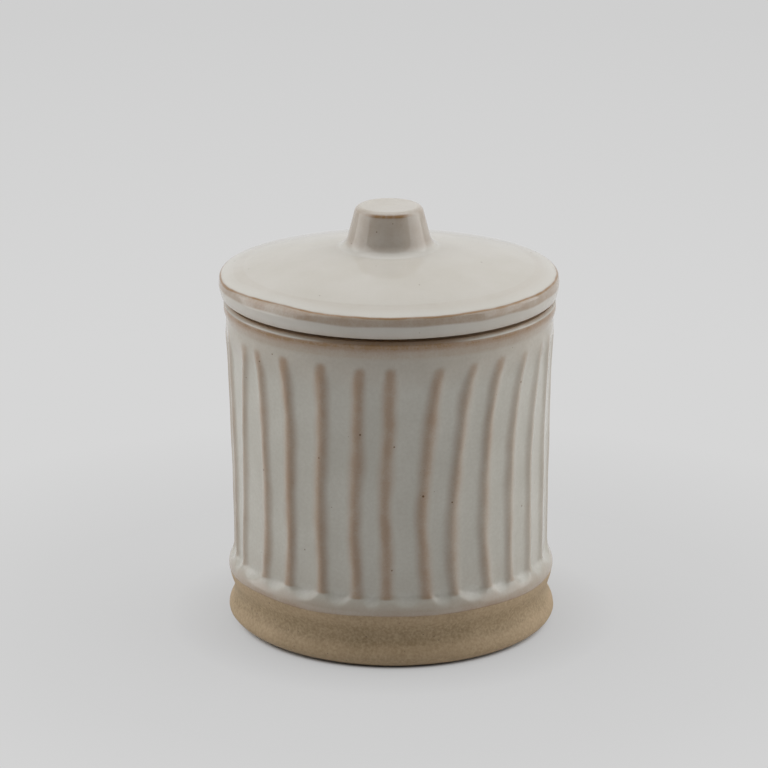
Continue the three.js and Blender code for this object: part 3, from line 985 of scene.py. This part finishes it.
def lid_thinness(radius, height):
    if radius > ARRIS[0] - 7.0 and height < ARRIS[1] + 2:
        return edge_thinness(radius, height)
    if radius < KNOB_FOOT[0] + 2 and height > KNOB_FOOT[1] - 0.5:
        return knob_thinness(radius, height)
    return np.zeros(LID_COLUMNS)


print("thinness of the arris line", round(float(line_strength.mean()), 2))

# %% Rings of the lid
LID_UNEVEN = 0.05
BAND_DROP = 0.05
RUB_DEPTH, RUB_SPREAD = 0.40, 1.7
RUB_INWARD, RUB_DOWN = 0.71, 0.70
SEAT_LIFT = 0.182


def lid_ring(radius, height):
    """Points of one level. The lid is a little out of round, its arris is worn down at
    the front and rubbed at one patch, and its lower edge lifts slightly at the left."""
    swell = LID_UNEVEN * (lid_wobble(lid_angle, height) - 1) * smoothstep(
        LID_SEAT, LID_SEAT + 2, height) * min(1, radius / 20)
    if radius > ARRIS[0] - 1.5:
        swell = swell - BAND_DROP * smoothstep(band_border - 0.5, band_border + 0.5, height)
    inward, down = 0, 0
    if radius > ARRIS[0] - 6 and height >= LID_WIDEST:
        apart = math.hypot(radius - ARRIS[0], height - ARRIS[1])
        rubbed = RUB_DEPTH * left_rub_and_highlight * math.exp(-(apart / RUB_SPREAD) ** 2)
        inward = RUB_INWARD * rubbed + front_wear * smoothstep(LID_WIDEST, ARRIS[1], height)
        down = RUB_DOWN * rubbed
    elif radius > seat_outer[0] - 0.1 and height < LID_WIDEST:
        down = -SEAT_LIFT * left_side * float(1 - smoothstep(LID_SEAT, LID_WIDEST, height))
    return ring(radius + swell - inward, lid_angle, height - down)


lid_outline = np.vstack([hollow, flange, lid_edge, arris, top])
seat_rings = range(len(hollow) + 3, len(hollow) + len(flange) + 1)
lid_rows = [lid_ring(radius, height) for radius, height in lid_outline]
lid_thin = [lid_thinness(radius, height) for radius, height in lid_outline]
lid_tags = [CLAY if index in seat_rings else GLAZE for index in range(len(lid_outline))]
print(len(lid_rows), "rings on the lid")

# %% Build the lid and fit it to the frame
lid = build_skin("lid_with_knob", lid_rows, lid_tags, lid_thin, [lid_glaze, clay])
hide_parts("lid")
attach(lid, "lid")
print(lid.name, "has", len(lid.data.polygons), "faces")

# %% [markdown]
# ## Floor and backdrop
#
# The jar stands on a pale sweep with no visible edge. A plain disc is enough if it takes
# the object's shadow near the middle and turns into an even backdrop further out. The
# Light Path node does that: what the camera or a reflection sees from just outside the
# foot is a flat grey that changes only slowly, while the light that bounces off the floor
# stays true. That grey is painted darker close to the jar and darkest at the foot: a
# painted shadow. Each of its ramps runs between two distances, in metres, and between two
# levels.

# %% The floor
FLOOR_RADIUS = 3.0
FLOOR_SIDES = 96
FLOOR_SINK = 0.00006
floor_mesh = bpy.data.meshes.new("studio_floor")
turn = np.linspace(0, 2 * np.pi, FLOOR_SIDES, endpoint=False)
floor_points = np.column_stack([
    FLOOR_RADIUS * np.cos(turn), FLOOR_RADIUS * np.sin(turn),
    np.full(FLOOR_SIDES, -FLOOR_SINK)])
floor_mesh.from_pydata(floor_points.tolist(), [], [list(range(FLOOR_SIDES))])
studio_floor = bpy.data.objects.new("studio_floor", floor_mesh)
scene.collection.objects.link(studio_floor)
print("floor", 2 * FLOOR_RADIUS, "m across")

# %% The paper: true at the foot, and a flat grey with a painted shadow further out
PAPER = (0.76, 0.76, 0.765, 1)
FOOT_CENTRE = (0.0011, 0, 0)
BACKDROP = 0.640
# The next two ramps darken the flat grey near the jar and most at the foot: a painted shadow.
PAINTED_SOFT_SHADOW = (0.07, 0.19, 0.594, 0.672)
PAINTED_FOOT_SHADOW = (0.068, 0.045, 0, 0.08)
DARKER_FAR_OFF = (0.30, 0.90, 0, 0.048)
COVER_NEAR = (0.0448, 0.0474, 0, 0.82)
COVER_AROUND = (0.055, 0.110, 0, 0.18)

paper, tree, shader, position = new_material("pale paper sweep with painted shadow")
shader.inputs["Base Color"].default_value = PAPER
shader.inputs["Roughness"].default_value = 0.9
shader.inputs["Specular IOR Level"].default_value = 0.1
far = add(tree, "ShaderNodeVectorMath", {0: position, 1: FOOT_CENTRE},
          operation="DISTANCE").outputs["Value"]
path = add(tree, "ShaderNodeLightPath").outputs
seen = math_node(tree, "MAXIMUM", path["Is Camera Ray"], math_node(
    tree, "MAXIMUM", path["Is Glossy Ray"], path["Is Transmission Ray"]))
# The flat grey, painted darker near the jar: a painted shadow.
around = math_node(tree, "SUBTRACT", remap(tree, far, *PAINTED_SOFT_SHADOW),
                   remap(tree, far, *PAINTED_FOOT_SHADOW))
grey = math_node(tree, "SUBTRACT", around, remap(tree, far, *DARKER_FAR_OFF))
flat = add(tree, "ShaderNodeEmission", {"Color": (1, 1, 1, 1), "Strength": grey})
cover = math_node(tree, "ADD", remap(tree, far, *COVER_NEAR, smooth=True),
                  remap(tree, far, *COVER_AROUND))
share = math_node(tree, "MULTIPLY", seen, cover)
joined = add(tree, "ShaderNodeMixShader", {0: share, 1: shader.outputs[0], 2: flat.outputs[0]})
leave = next(n for n in tree.nodes if n.type == "OUTPUT_MATERIAL")
tree.links.new(joined.outputs[0], leave.inputs["Surface"])
floor_mesh.materials.append(paper)
print("the floor is covered with", paper.name)

# %% [markdown]
# ## Light
#
# The photograph's light is soft and comes from both sides and from above, and the side
# where the camera stands is dark: the front of the jar is its greyest part. A square
# panel on each side and a wide one overhead do that. The world fills in the rest of
# the room, pale behind the jar and dark behind the camera.

# %% Panels
JAR_MIDDLE = (0, 0, 0.06)


def panel(name, place, width, height, level):
    """A soft panel with the same brightness all over, turned to the jar. level is what
    a white card shows if the panel fills the card's view."""
    lamp = bpy.data.lights.new(name, "AREA")
    lamp.shape = "RECTANGLE"
    lamp.size, lamp.size_y = width, height
    lamp.energy = level * math.pi * width * height
    lamp_object = bpy.data.objects.new(name, lamp)
    scene.collection.objects.link(lamp_object)
    lamp_object.location = place
    toward = Vector(JAR_MIDDLE) - Vector(place)
    lamp_object.rotation_euler = toward.to_track_quat("-Z", "Y").to_euler()


panel("left_panel", place=(-0.85, 0, 0.45), width=0.9, height=0.9, level=1.31)
panel("right_panel", place=(0.85, 0, 0.45), width=0.9, height=0.9, level=1.46)
panel("top_panel", place=(0, 0, 1.2), width=1.6, height=1.0, level=1.40)
print("three panels")

# %% The room
ROOM_BACK, ROOM_FRONT = 0.65, 0.0
world = bpy.data.worlds.new("studio_room")
scene.world = world
world.use_nodes = True
tree = world.node_tree
direction = add(tree, "ShaderNodeTexCoord").outputs["Generated"]
toward_back = add(tree, "ShaderNodeSeparateXYZ", {0: direction}).outputs["Y"]
room = remap(tree, toward_back, -0.7, 0.5, ROOM_FRONT, ROOM_BACK, smooth=True)
is_camera = add(tree, "ShaderNodeLightPath").outputs["Is Camera Ray"]
level = remap(tree, is_camera, 0, 1, room, BACKDROP)
backing = next(n for n in tree.nodes if n.type == "BACKGROUND")
backing.inputs["Color"].default_value = (1, 1, 1, 1)
tree.links.new(level, backing.inputs["Strength"])
scene.view_settings.view_transform = "Standard"
print("room lit")

# %% [markdown]
# ## Camera
#
# The ellipses of the lid and the foot give the camera away: how round they are gives its
# height, and how much rounder the lower one is gives its distance. It stood a little
# over a metre off, with a long lens, looking down at about 18 degrees.

# %% Place the camera
ELEVATION = math.radians(17.72)
DISTANCE = 1.114
FOCAL_PIXELS = 3754.0
PICTURE = 768
SENSOR_WIDTH = 36.0
TARGET = Vector(JAR_MIDDLE)
TARGET_PIXEL = (389.0, 422.4)

camera_data = bpy.data.cameras.new("photo_camera")
camera_data.sensor_width = SENSOR_WIDTH
camera_data.lens = FOCAL_PIXELS / PICTURE * SENSOR_WIDTH
camera_data.clip_start, camera_data.clip_end = 0.05, 20
camera = bpy.data.objects.new("photo_camera", camera_data)
scene.collection.objects.link(camera)
scene.camera = camera
place = TARGET + DISTANCE * Vector((0, -math.cos(ELEVATION), math.sin(ELEVATION)))
aim = (TARGET - place).to_track_quat("-Z", "Y").to_matrix()
yaw = math.atan((TARGET_PIXEL[0] - PICTURE / 2) / FOCAL_PIXELS)
pitch = math.atan((TARGET_PIXEL[1] - PICTURE / 2) / FOCAL_PIXELS)
turned = aim @ Matrix.Rotation(yaw, 3, "Y") @ Matrix.Rotation(pitch, 3, "X")
camera.matrix_world = Matrix.Translation(place) @ turned.to_4x4()
print("lens", round(camera_data.lens, 1), "mm, camera at", [round(v, 3) for v in place])
